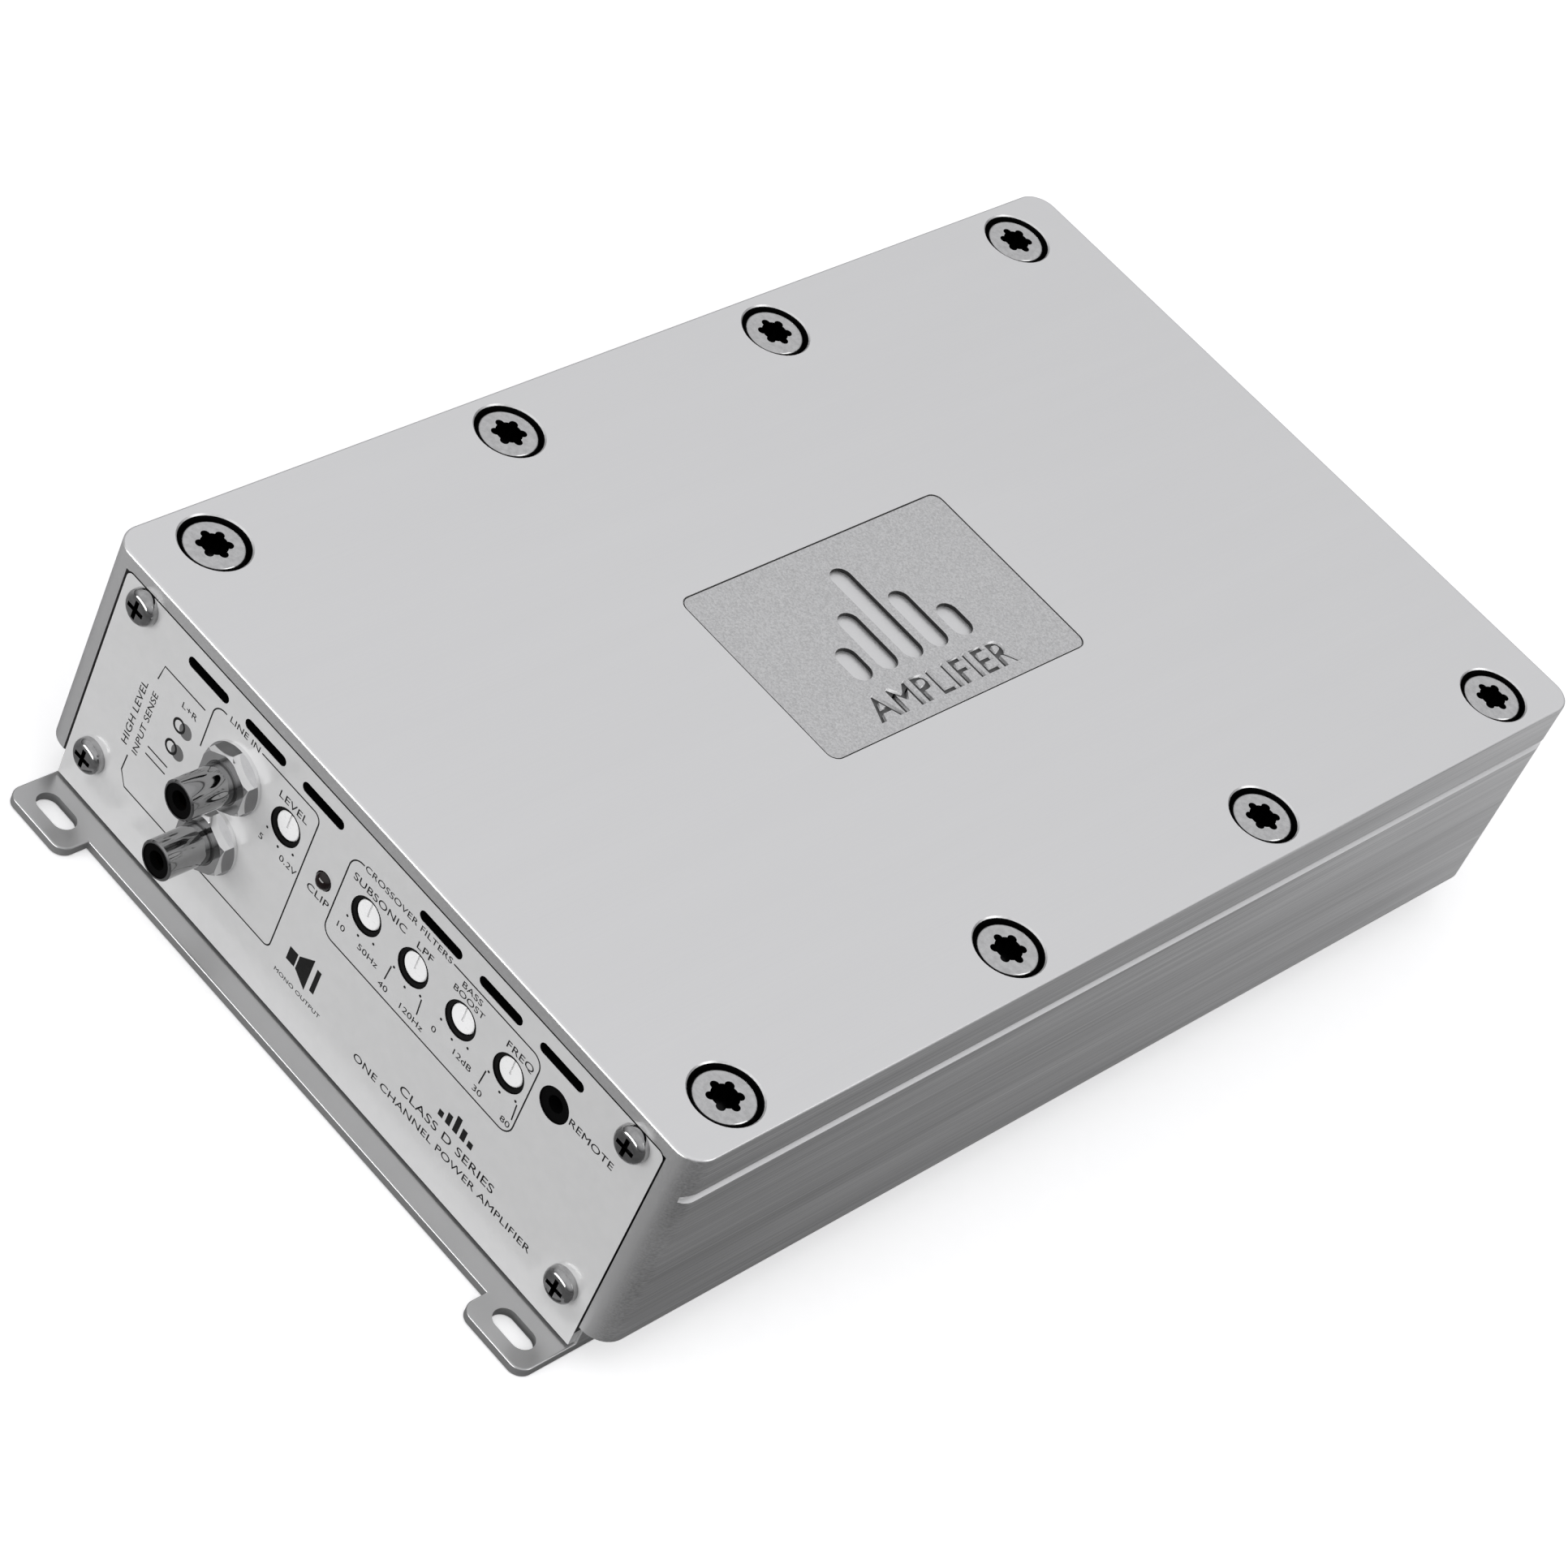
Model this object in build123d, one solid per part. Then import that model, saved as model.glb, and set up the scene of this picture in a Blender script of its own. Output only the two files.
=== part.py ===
"""Car audio amplifier: a one-channel power amplifier in an extruded aluminium housing.

Frame: millimetres, +Z up, origin at the middle of the base plate's underside.
-Y is the control end (front) and +Y is the power and speaker terminal end (rear).
"""
import os
from math import cos, radians, sin

from build123d import *

# ---- housing extrusion
HOUSING_W = 168.0
HOUSING_L = 264.0
TOTAL_H = 62.0
SKIRT_Z = 8.0  # lower edge of the side walls
SIDE_WALL = 6.0
TOP_WALL = 3.5
CORNER_R = 5.5
EDGE_R = 0.6
GROOVE_Z = 50.9
GROOVE_DEPTH = 1.2
GROOVE_MOUTH = 2.4
GROOVE_FLOOR = 1.4
RAIL_X = 64.0  # inner side of the corner rails
UPPER_RAIL_Z = 46.5
LOWER_RAIL_Z = 18.0
HALF_W = HOUSING_W / 2
HALF_L = HOUSING_L / 2
INNER_X = HALF_W - SIDE_WALL
CEILING_Z = TOTAL_H - TOP_WALL

# ---- base plate
BASE_T = 2.0
BASE_HALF_W = 78.0
BASE_HALF_L = 137.2
TAB_REACH = 144.0
TAB_INNER_X = 60.5
TAB_R = 3.0
SLOT_X = 69.5
SLOT_Y = 138.2
SLOT_LENGTH = 10.0
SLOT_WIDTH = 5.2

# ---- end panels
PANEL_T = 2.0
PANEL_FACE = HALF_L - 0.1  # distance of a panel's outer face from the middle
PANEL_BACK = PANEL_FACE - PANEL_T
PANEL_GAP = 0.5
PANEL_TOP = 58.9
PANEL_BOTTOM = 2.6
PANEL_R = 2.0
VENT_Z = 54.1
VENT_PITCH = 17.1
VENT_LENGTH = 12.0
VENT_WIDTH = 2.4
PANEL_SCREW_X = 71.0
PANEL_SCREW_Z = (54.9, 13.7)
PANEL_SCREW_R = 1.75
PANEL_HEAD_R = 3.8
PANEL_HEAD_H = 2.5
PANEL_SCREW_REACH = 6.0  # depth of thread behind the panel

# ---- screws through the top
TOP_SCREW_X = 74.0
TOP_SCREW_Y = (-114.75, -38.25, 38.25, 114.75)
TOP_HEAD_R = 6.4
TOP_HEAD_H = 5.0
TOP_HEAD_SINK = 0.5
COUNTERBORE_R = 7.35
COUNTERBORE_BEVEL = 0.3
TOP_SHANK_R = 3.0
TOP_SHANK_L = 24.0
LOBE_RING = 2.85
LOBE_R = 0.95

# ---- screws through the base
BASE_SCREW_X = 72.0
BASE_SCREW_Y = (-105.0, -35.0, 35.0, 105.0)
BASE_SCREW_R = 2.0
BASE_HEAD_R = 3.8
BASE_SCREW_L = 12.0

# ---- badge let into the top
BADGE_W = 46.5
BADGE_L = 75.0
BADGE_DEPTH = 1.2
BADGE_R = 2.5
BADGE_GAP = 0.3

# ---- control end
POT_Z = 42.0
POTS = {
    "level": -23.1,
    "subsonic": 0.8,
    "low_pass": 14.5,
    "boost": 28.2,
    "frequency": 41.9,
}
POT_HOLE_R = 4.1
COLLAR_R = 4.0
KNOB_R = 3.1
KNOB_SHAFT_R = 1.5
KNOB_SINK = 0.6
KNOB_LENGTH = 4.4
KNOB_SLOT_W = 0.5
KNOB_SLOT_DEPTH = 0.4
KNOB_SLOT_TAIL = 0.6  # reach of the slot past the middle
RUNNING_GAP = 0.05
RCA_X = -37.9
RCA_Z = (40.8, 24.0)
RCA_R = 4.15
RCA_THREAD_R = 4.5
RCA_BORE_R = 3.55
RCA_CONTACT_R = 1.95
RCA_END = 145.6
RCA_NUT_FLATS = 12.0
RCA_WASHER_R = 7.4
RCA_WASHER_T = 0.8
RCA_NUT_T = 2.6
CLIP_X, CLIP_Z = -10.8, 39.7
LED_R = 2.0
LED_SINK = 0.6  # the rim of a lens lies this far behind the panel's face
LED_BODY_L = 6.0
JACK_X, JACK_Z = 53.2, 45.5
JACK_R = 3.7
JACK_BORE_R = 1.8
CONTROL_BOARD_Y = (-112.0, -110.4)

# ---- terminal end: port name, x, wire bore radius, set screw radius, clamp width, clamp height
PORT_Z = 24.0
PORTS = (
    ("positive", -49.0, 4.5, 2.5, 16.0, 16.0),
    ("remote", -34.0, 2.2, 1.25, 8.0, 9.0),
    ("ground", -19.0, 4.5, 2.5, 16.0, 16.0),
    ("speaker_positive", 34.0, 3.0, 1.7, 13.0, 12.0),
    ("speaker_negative", 52.0, 3.0, 1.7, 13.0, 12.0),
)
POWER_BLOCK_X = (-60.0, -8.0)
SPEAKER_BLOCK_X = (25.0, 61.0)
BLOCK_Y = (112.0, RCA_END)
BLOCK_Z = (13.0, 39.0)
MOUTH_T = 1.6  # plastic lip in front of each clamp
MOUTH_GAP = 0.4
CLAMP_Y = (114.0, BLOCK_Y[1] - MOUTH_T)
BORE_Y0 = 118.0
SET_SCREW_Y = 138.5
SET_SCREW_TOP = 38.4
FUSE_X = (0.0, 8.5, 17.0)
FUSE_Z = 26.0
FUSE_W = 19.0
FUSE_T = 5.0
FUSE_BODY_Y = (133.4, 144.6)
FUSE_BLADE_Y0 = 125.4
BLADE_T = 0.8
BLADE_W = 5.2
BLADE_OFFSET = 6.4
HOLDER_X = (-5.0, 22.0)
HOLDER_Y = (113.0, 133.0)
HOLDER_Z = (14.0, 38.0)
POWER_LED_X, POWER_LED_Z = 8.5, 46.0

# ---- inside
BOARD_Z = (10.0, 11.6)
BOARD_HALF_W = 63.0
BOARD_Y = (-109.0, 124.0)
STANDOFF_X = 54.0
STANDOFF_Y = (-98.0, 8.0, 92.0)
HEAT_BAR_X = 64.5
HEAT_BAR_Z = (20.0, UPPER_RAIL_Z)
HEAT_BAR_HALF_L = 124.0
PAD_T = 0.2
TRANSISTOR_Y = [-98.0 + 28.0 * step for step in range(8)]
TRANSISTOR_T = 5.0
TRANSISTOR_W = 16.0
TRANSISTOR_Z = (21.5, 42.5)
CLAMP_BAR_T = 1.5
CLAMP_SCREW_Z = 32.0
CLAMP_SCREW_R = 1.45


# ---- shape helpers
def block(x, y, z):
    """Box between three (low, high) ranges."""
    spans = (x, y, z)
    size = [high - low for low, high in spans]
    middle = [(high + low) / 2 for low, high in spans]
    return Pos(*middle) * Box(*size)


def rod_x(y, z, span, radius):
    """Cylinder along X."""
    low, high = span
    return Pos((low + high) / 2, y, z) * Rot(0, 90, 0) * Cylinder(radius, high - low)


def rod_y(x, z, span, radius):
    """Cylinder along Y."""
    low, high = span
    return Pos(x, (low + high) / 2, z) * Rot(90, 0, 0) * Cylinder(radius, high - low)


def rod_z(x, y, span, radius):
    """Cylinder along Z."""
    low, high = span
    return Pos(x, y, (low + high) / 2) * Cylinder(radius, high - low)


def both_ways(span, side):
    """A (low, high) range, mirrored when side is -1."""
    low, high = span
    return (low, high) if side > 0 else (-high, -low)


def outward(x, z, distance, end):
    """Place a shape built along +Z so that it points out of the front (-1) or rear (1) end."""
    return Pos(x, end * distance, z) * Rot(-90 * end, 0, 0)


def arch(half_width, y, z, radius):
    """Upright plate with two rounded upper corners."""
    plate = block((-half_width, half_width), y, z)
    upper_corners = plate.edges().filter_by(Axis.Y).group_by(Axis.Z)[-1]
    return fillet(upper_corners, radius)


def rounded_plate(x, y, z, radius):
    """Flat plate with four rounded corners."""
    plate = block(x, y, z)
    return fillet(plate.edges().filter_by(Axis.Z), radius)


def top_edges(part):
    return part.faces().sort_by(Axis.Z)[-1].edges()


def save(name, *shapes):
    """Write every solid in the shapes to one file named after the piece."""
    solids = []
    for shape in shapes:
        solids.extend(shape.solids())
    export_step(Compound(children=solids), f"parts/{name}.step")


# ---- screws, each built with its axis on Z and the underside of its head at the origin
def cross_recess(radius, top, depth):
    """Cruciform driver recess with a sunk middle."""
    arm = radius * 0.27
    reach = radius * 1.15
    recess = Box(arm, reach, 2 * depth) + Box(reach, arm, 2 * depth)
    return Pos(0, 0, top) * recess


def pan_screw(head_r, head_h, shank_r, length):
    """Pan-head screw with a crowned head."""
    head = Pos(0, 0, head_h / 2) * Cylinder(head_r, head_h)
    head = fillet(top_edges(head), head_h * 0.7)
    head -= cross_recess(head_r, head_h, head_h * 0.55)
    shank = Pos(0, 0, -length / 2) * Cylinder(shank_r, length)
    return head + shank


def top_screw():
    """Low-head screw with a six-lobe socket."""
    head = Pos(0, 0, TOP_HEAD_H / 2) * Cylinder(TOP_HEAD_R, TOP_HEAD_H)
    head = fillet(top_edges(head), 0.8)
    socket_depth = 3.2
    socket_z = TOP_HEAD_H - socket_depth / 2
    head -= Pos(0, 0, socket_z) * Cylinder(LOBE_RING, socket_depth)
    for step in range(6):
        turn = radians(60 * step)
        lobe = Pos(LOBE_RING * cos(turn), LOBE_RING * sin(turn), socket_z)
        head -= lobe * Cylinder(LOBE_R, socket_depth)
    shank = Pos(0, 0, -TOP_SHANK_L / 2) * Cylinder(TOP_SHANK_R, TOP_SHANK_L)
    return head + shank


def countersunk_screw():
    """Countersunk screw whose head's flat face lies at z = 0, pointing down."""
    head_h = BASE_HEAD_R - BASE_SCREW_R
    head = Pos(0, 0, head_h / 2) * Cone(BASE_HEAD_R, BASE_SCREW_R, head_h)
    head -= cross_recess(BASE_HEAD_R, 0, 1.2)
    shank = Pos(0, 0, (head_h + BASE_SCREW_L) / 2) * Cylinder(BASE_SCREW_R, BASE_SCREW_L - head_h)
    return head + shank


# ---- case
def panel_screw_places(end):
    return [(side * PANEL_SCREW_X, z, end) for side in (-1, 1) for z in PANEL_SCREW_Z]


def groove(side):
    """Long shallow channel cut into a side wall."""
    outer = side * (HALF_W + 1)
    floor = side * (HALF_W - GROOVE_DEPTH)
    outline = [
        (outer, GROOVE_Z - GROOVE_MOUTH / 2),
        (side * HALF_W, GROOVE_Z - GROOVE_MOUTH / 2),
        (floor, GROOVE_Z - GROOVE_FLOOR / 2),
        (floor, GROOVE_Z + GROOVE_FLOOR / 2),
        (side * HALF_W, GROOVE_Z + GROOVE_MOUTH / 2),
        (outer, GROOVE_Z + GROOVE_MOUTH / 2),
    ]
    points = [(x, -HALF_L - 1, z) for x, z in outline]
    return extrude(make_face(Polyline(*points, close=True)), HOUSING_L + 2, dir=(0, 1, 0))


def make_housing():
    shell = block((-HALF_W, HALF_W), (-HALF_L, HALF_L), (SKIRT_Z, TOTAL_H))
    shell = fillet(shell.edges().filter_by(Axis.Z), CORNER_R)
    shell = fillet(top_edges(shell), EDGE_R)
    shell = chamfer(shell.faces().sort_by(Axis.Z)[0].edges(), EDGE_R)
    shell -= block((-INNER_X, INNER_X), (-HALF_L - 1, HALF_L + 1), (0, CEILING_Z))
    rail_y = (-PANEL_BACK, PANEL_BACK)
    for side in (-1, 1):
        rail_x = both_ways((RAIL_X, INNER_X), side)
        shell += block(rail_x, rail_y, (UPPER_RAIL_Z, CEILING_Z))
        shell += block(rail_x, rail_y, (BASE_T, LOWER_RAIL_Z))
        shell -= groove(side)
    for end in (-1, 1):
        rebate_y = both_ways((PANEL_BACK, HALF_L + 1), end)
        shell -= arch(INNER_X, rebate_y, (0, PANEL_TOP), PANEL_R)
        for x, z, _ in panel_screw_places(end):
            thread_y = both_ways((PANEL_BACK - PANEL_SCREW_REACH - 1, PANEL_BACK), end)
            shell -= rod_y(x, z, thread_y, PANEL_SCREW_R + RUNNING_GAP)
    seat_z = TOTAL_H - TOP_HEAD_SINK - TOP_HEAD_H
    for side in (-1, 1):
        for y in TOP_SCREW_Y:
            x = side * TOP_SCREW_X
            shell -= rod_z(x, y, (seat_z, TOTAL_H + 1), COUNTERBORE_R)
            bevel = Cone(COUNTERBORE_R, COUNTERBORE_R + COUNTERBORE_BEVEL, COUNTERBORE_BEVEL)
            shell -= Pos(x, y, TOTAL_H - COUNTERBORE_BEVEL / 2) * bevel
            shell -= rod_z(x, y, (UPPER_RAIL_Z - 1, seat_z + 1), TOP_SHANK_R + 0.3)
        for y in BASE_SCREW_Y:
            shell -= rod_z(side * BASE_SCREW_X, y, (0, BASE_SCREW_L + 1), BASE_SCREW_R + RUNNING_GAP)
    pocket_x = (-BADGE_W / 2, BADGE_W / 2)
    pocket_y = (-BADGE_L / 2, BADGE_L / 2)
    shell -= rounded_plate(pocket_x, pocket_y, (TOTAL_H - BADGE_DEPTH, TOTAL_H + 1), BADGE_R)
    return shell


def make_badge():
    half_w = BADGE_W / 2 - BADGE_GAP
    half_l = BADGE_L / 2 - BADGE_GAP
    z = (TOTAL_H - BADGE_DEPTH, TOTAL_H - 0.1)
    return rounded_plate((-half_w, half_w), (-half_l, half_l), z, BADGE_R - BADGE_GAP)


def make_base_plate():
    plate_z = (0, BASE_T)
    plate = block((-BASE_HALF_W, BASE_HALF_W), (-BASE_HALF_L, BASE_HALF_L), plate_z)
    for side in (-1, 1):
        for end in (-1, 1):
            tab_x = both_ways((TAB_INNER_X, BASE_HALF_W), side)
            tab_y = both_ways((BASE_HALF_L - 10, TAB_REACH), end)
            tab = block(tab_x, tab_y, plate_z)
            tip = tab.edges().filter_by(Axis.Z).group_by(Axis.Y)[0 if end < 0 else -1]
            plate += fillet(tip, TAB_R)
            slot = SlotOverall(SLOT_LENGTH, SLOT_WIDTH)
            plate -= Pos(side * SLOT_X, end * SLOT_Y, -1) * extrude(slot, BASE_T + 2)
        for y in BASE_SCREW_Y:
            x = side * BASE_SCREW_X
            sink_h = BASE_HEAD_R - BASE_SCREW_R
            plate -= rod_z(x, y, (-1, BASE_T + 1), BASE_SCREW_R + 0.15)
            plate -= Pos(x, y, sink_h / 2) * Cone(BASE_HEAD_R + 0.1, BASE_SCREW_R + 0.1, sink_h)
    edges = plate.faces().sort_by(Axis.Z)[-1].outer_wire().edges()
    return fillet(edges, 0.4)


def make_panel(end):
    """End panel with its vent slots and screw holes; the rest is cut by its own function."""
    half_w = INNER_X - PANEL_GAP
    y = both_ways((PANEL_BACK, PANEL_FACE), end)
    panel = arch(half_w, y, (PANEL_BOTTOM, PANEL_TOP - PANEL_GAP), PANEL_R - PANEL_GAP)
    cut_y = both_ways((PANEL_BACK - 1, PANEL_FACE + 1), end)
    for x, z, _ in panel_screw_places(end):
        panel -= rod_y(x, z, cut_y, PANEL_SCREW_R + 0.15)
    for step in (-3, -2, -1, 1, 2, 3):
        slot = extrude(SlotOverall(VENT_LENGTH, VENT_WIDTH), PANEL_T + 2)
        panel -= outward(step * VENT_PITCH, VENT_Z, PANEL_BACK - 1, end) * slot
    return panel


def make_front_panel():
    panel = make_panel(-1)
    cut_y = (-PANEL_FACE - 1, -PANEL_BACK + 1)
    for x in POTS.values():
        panel -= rod_y(x, POT_Z, cut_y, POT_HOLE_R)
    for z in RCA_Z:
        panel -= rod_y(RCA_X, z, cut_y, RCA_THREAD_R + 0.1)
    panel -= rod_y(CLIP_X, CLIP_Z, cut_y, LED_R + 0.1)
    panel -= rod_y(JACK_X, JACK_Z, cut_y, JACK_R + 0.1)
    return panel


def make_rear_panel():
    panel = make_panel(1)
    cut_y = (PANEL_BACK - 1, PANEL_FACE + 1)
    openings = (
        (POWER_BLOCK_X, BLOCK_Z),
        (SPEAKER_BLOCK_X, BLOCK_Z),
        (HOLDER_X, HOLDER_Z),
    )
    for (x0, x1), (z0, z1) in openings:
        panel -= block((x0 - PANEL_GAP, x1 + PANEL_GAP), cut_y, (z0 - PANEL_GAP, z1 + PANEL_GAP))
    panel -= rod_y(POWER_LED_X, POWER_LED_Z, cut_y, LED_R + 0.1)
    return panel


def panel_screws(end):
    screws = []
    length = PANEL_T + PANEL_SCREW_REACH
    for x, z, _ in panel_screw_places(end):
        screw = pan_screw(PANEL_HEAD_R, PANEL_HEAD_H, PANEL_SCREW_R, length)
        screws.append(outward(x, z, PANEL_FACE, end) * screw)
    return screws


def save_case():
    save("housing", make_housing())
    save("badge_plate", make_badge())
    save("base_plate", make_base_plate())
    save("front_panel", make_front_panel())
    save("rear_panel", make_rear_panel())
    save("front_panel_screws", *panel_screws(-1))
    save("rear_panel_screws", *panel_screws(1))
    seat_z = TOTAL_H - TOP_HEAD_SINK - TOP_HEAD_H
    screw_rows = [(side * TOP_SCREW_X, y) for side in (-1, 1) for y in TOP_SCREW_Y]
    save("top_screws", *[Pos(x, y, seat_z) * top_screw() for x, y in screw_rows])
    screw_rows = [(side * BASE_SCREW_X, y) for side in (-1, 1) for y in BASE_SCREW_Y]
    save("base_screws", *[Pos(x, y, 0) * countersunk_screw() for x, y in screw_rows])


# ---- control end
def make_knob(x):
    """Recessed trim knob: a head with a pointer slot, on a thin shaft."""
    face = PANEL_FACE - KNOB_SINK
    neck = face - KNOB_LENGTH
    half_slot = KNOB_SLOT_W / 2
    knob = rod_y(x, POT_Z, (-face, -neck), KNOB_R)
    knob = fillet(knob.faces().sort_by(Axis.Y)[0].edges(), 0.4)
    slot_z = (POT_Z - KNOB_SLOT_TAIL, POT_Z + KNOB_R + 1)
    knob -= block((x - half_slot, x + half_slot), (-face - 1, -face + KNOB_SLOT_DEPTH), slot_z)
    return knob + rod_y(x, POT_Z, (-neck, -neck + 8), KNOB_SHAFT_R)


def make_pot_body(x):
    """Potentiometer: square body on the board with a round collar up to the panel."""
    collar_face = PANEL_FACE - 0.35
    neck = PANEL_FACE - 5.3
    body_y = (-neck + 1.6, CONTROL_BOARD_Y[0])
    body = block((x - 4.8, x + 4.8), body_y, (POT_Z - 5.4, POT_Z + 5.4))
    body += rod_y(x, POT_Z, (-collar_face, body_y[0]), COLLAR_R)
    body -= rod_y(x, POT_Z, (-collar_face - 1, -neck), KNOB_R + 0.2)
    body -= rod_y(x, POT_Z, (-neck - 1, -neck + 9), KNOB_SHAFT_R + RUNNING_GAP)
    return body


def make_led(x, z, end):
    """Round indicator: a domed lens with two leads."""
    lens = Pos(0, 0, -LED_BODY_L / 2) * Cylinder(LED_R, LED_BODY_L)
    lens += Sphere(LED_R)
    leads = [Pos(side * 0.7, 0, -LED_BODY_L - 5.5) * Box(0.5, 0.5, 11) for side in (-1, 1)]
    return outward(x, z, PANEL_FACE - LED_SINK, end) * (lens + leads)


def make_rca_nut():
    """Hexagon nut with a chamfered outer face."""
    hexagon = RegularPolygon(RCA_NUT_FLATS / 2, 6, major_radius=False, rotation=30)
    crown_r = RCA_NUT_FLATS / 2 / cos(radians(30)) + 0.1
    crown = Pos(0, 0, RCA_NUT_T / 2) * Cylinder(crown_r, RCA_NUT_T)
    return extrude(hexagon, RCA_NUT_T) & chamfer(top_edges(crown), 0.7)


def save_rca_jacks():
    """Two panel jacks: shell, insulator and centre contact, with a washer and nut outside."""
    washer_face = PANEL_FACE + RCA_WASHER_T
    nut_face = washer_face + RCA_NUT_T
    thread_end = nut_face + 0.2
    rear = PANEL_FACE - 9
    shells, insulators, contacts, washers, nuts = [], [], [], [], []
    for z in RCA_Z:
        shell = rod_y(RCA_X, z, (-RCA_END, -thread_end), RCA_R)
        shell = chamfer(shell.faces().sort_by(Axis.Y)[0].edges(), 0.3)
        shell += rod_y(RCA_X, z, (-thread_end, -rear), RCA_THREAD_R)
        shell -= rod_y(RCA_X, z, (-RCA_END - 1, -rear + 1), RCA_BORE_R)
        shells.append(shell)
        insulator = rod_y(RCA_X, z, (-RCA_END + 0.3, -rear), RCA_BORE_R - RUNNING_GAP)
        insulators.append(insulator - rod_y(RCA_X, z, (-RCA_END - 1, -rear + 1), 2.0))
        contact = rod_y(RCA_X, z, (-RCA_END + 1.5, CONTROL_BOARD_Y[0]), RCA_CONTACT_R)
        contacts.append(contact - rod_y(RCA_X, z, (-RCA_END, -rear - 4), 1.6))
        hole = rod_y(RCA_X, z, (-nut_face - 1, -PANEL_FACE + 1), RCA_THREAD_R + RUNNING_GAP)
        washers.append(rod_y(RCA_X, z, (-washer_face, -PANEL_FACE), RCA_WASHER_R) - hole)
        nuts.append(outward(RCA_X, z, washer_face, -1) * make_rca_nut() - hole)
    save("rca_shells", *shells)
    save("rca_insulators", *insulators)
    save("rca_contacts", *contacts)
    save("rca_washers", *washers)
    save("rca_nuts", *nuts)
    body = block((RCA_X - 6, RCA_X + 6), (-PANEL_BACK, CONTROL_BOARD_Y[0]), (RCA_Z[1] - 7, RCA_Z[0] + 7))
    for z in RCA_Z:
        body -= rod_y(RCA_X, z, (-PANEL_BACK - 1, -rear), RCA_THREAD_R)
        body -= rod_y(RCA_X, z, (-rear - 1, CONTROL_BOARD_Y[0] + 1), RCA_CONTACT_R)
    save("rca_housing", body)


def make_remote_jack():
    """Remote level control socket: a round nose through the panel and a square body."""
    jack = rod_y(JACK_X, JACK_Z, (-PANEL_FACE + 0.4, -PANEL_BACK), JACK_R)
    body_y = (-PANEL_BACK, CONTROL_BOARD_Y[0])
    jack += block((JACK_X - 4.5, JACK_X + 4.5), body_y, (JACK_Z - 4.5, JACK_Z + 4.5))
    return jack - rod_y(JACK_X, JACK_Z, (-PANEL_FACE, -116), JACK_BORE_R)


def save_control_end():
    for name, x in POTS.items():
        save(f"{name}_knob", make_knob(x))
    save("pot_bodies", *[make_pot_body(x) for x in POTS.values()])
    save_rca_jacks()
    save("clip_led", make_led(CLIP_X, CLIP_Z, -1))
    save("remote_jack", make_remote_jack())
    save("control_board", block((-58, 62), CONTROL_BOARD_Y, (14, 52)))
    save("board_connector", block((-20, 20), (CONTROL_BOARD_Y[1], -104), (BOARD_Z[1], 19)))


# ---- terminal end
def make_terminal_block(block_x, ports):
    """Plastic body with one pocket, mouth and screw hole for each wire clamp."""
    body = block(block_x, BLOCK_Y, BLOCK_Z)
    outer = body.faces().sort_by(Axis.Y)[-1].edges()
    body = fillet(outer, 0.8)
    for _, x, bore_r, screw_r, width, height in ports:
        pocket_z = (PORT_Z - height / 2, PORT_Z + height / 2)
        body -= block((x - width / 2, x + width / 2), (BLOCK_Y[0] - 1, CLAMP_Y[1]), pocket_z)
        body -= rod_y(x, PORT_Z, (CLAMP_Y[1] - 1, BLOCK_Y[1] + 1), bore_r + MOUTH_GAP)
        body -= rod_z(x, SET_SCREW_Y, (PORT_Z, BLOCK_Z[1] + 1), screw_r + 0.4)
    return body


def make_wire_clamp(port):
    """Metal block with a blind wire bore and a threaded hole for its set screw."""
    _, x, bore_r, screw_r, width, height = port
    gap = 0.05
    half_w, half_h = width / 2 - gap, height / 2 - gap
    clamp = block((x - half_w, x + half_w), CLAMP_Y, (PORT_Z - half_h, PORT_Z + half_h))
    clamp -= rod_y(x, PORT_Z, (BORE_Y0, CLAMP_Y[1] + 1), bore_r)
    clamp -= rod_z(x, SET_SCREW_Y, (PORT_Z, PORT_Z + height), screw_r + RUNNING_GAP)
    return clamp


def make_set_screw(port):
    """Headless screw with a hexagon socket, clear of the wire bore at rest."""
    _, x, bore_r, screw_r, _, _ = port
    tip = PORT_Z + bore_r + 0.1
    screw = rod_z(x, SET_SCREW_Y, (tip, SET_SCREW_TOP), screw_r)
    screw = chamfer(screw.edges().filter_by(GeomType.CIRCLE), 0.25)
    socket = extrude(RegularPolygon(screw_r * 0.58, 6), 2 * screw_r)
    return screw - Pos(x, SET_SCREW_Y, SET_SCREW_TOP - 1.2 * screw_r) * socket


def make_bus_bar(port):
    """Bent strip from the back of a wire clamp down to the main board."""
    _, x, bore_r, _, width, _ = port
    half = width * 0.3
    strip_x = (x - half, x + half)
    bar = block(strip_x, (100, CLAMP_Y[0]), (PORT_Z - 3, PORT_Z - 1.5))
    bar += block(strip_x, (100, 101.5), (BOARD_Z[1], PORT_Z - 1.5))
    return bar


def make_fuse(x):
    """Blade fuse standing on edge: a plastic body with two flat blades."""
    body_z = (FUSE_Z - FUSE_W / 2, FUSE_Z + FUSE_W / 2)
    fuse = block((x - FUSE_T / 2, x + FUSE_T / 2), FUSE_BODY_Y, body_z)
    fuse = fillet(fuse.edges().filter_by(Axis.Y), 0.5)
    waist_y = (FUSE_BODY_Y[0] + 2.5, FUSE_BODY_Y[1] - 3.0)
    for side in (-1, 1):
        cheek = both_ways((FUSE_T / 2 - 0.7, FUSE_T), side)
        fuse -= block((x + cheek[0], x + cheek[1]), waist_y, (FUSE_Z - 6, FUSE_Z + 6))
    for offset in (-BLADE_OFFSET, BLADE_OFFSET):
        blade_z = (FUSE_Z + offset - BLADE_W / 2, FUSE_Z + offset + BLADE_W / 2)
        fuse += block((x - BLADE_T / 2, x + BLADE_T / 2), (FUSE_BLADE_Y0, FUSE_BODY_Y[0]), blade_z)
    return fuse


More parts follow.
